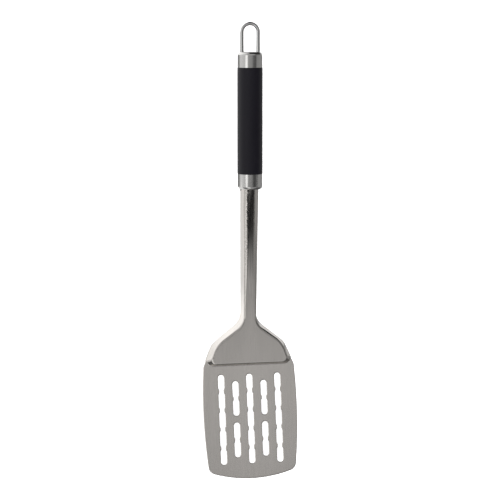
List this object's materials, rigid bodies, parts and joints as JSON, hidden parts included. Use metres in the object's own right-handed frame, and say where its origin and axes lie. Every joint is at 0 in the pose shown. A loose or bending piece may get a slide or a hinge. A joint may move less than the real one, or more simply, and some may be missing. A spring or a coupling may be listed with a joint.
{
  "type": "grill spatula",
  "caption": "Long slotted grill turner: pressed steel blade, shoulder and channel shaft, ferruled soft grip, wire hanging loop.",
  "frame": {"origin": "middle of the grip, on the handle's axis", "axes": "+Y along the handle towards the hanging loop, +Z the side that faces up in use, +X across the tool"},
  "size_m": [0.0948, 0.4477, 0.0271],
  "materials": {
    "blade_steel": "satin, fine grain along the tool",
    "ferrule_steel": "fine brushed",
    "bright_wire": "polished",
    "soft_grip": "matte soft touch",
    "core_plastic": "moulded",
    "rivet_alloy": "plain"
  },
  "bodies": {
    "root": {"blade_head": "blade_steel", "front_ferrule": "ferrule_steel", "end_cap": "ferrule_steel", "loop_keeper": "ferrule_steel", "hanging_loop": "bright_wire", "grip_sleeve": "soft_grip", "core_upper": "core_plastic", "core_lower": "core_plastic", "core_rivets": "rivet_alloy"}
  },
  "joints": []
}
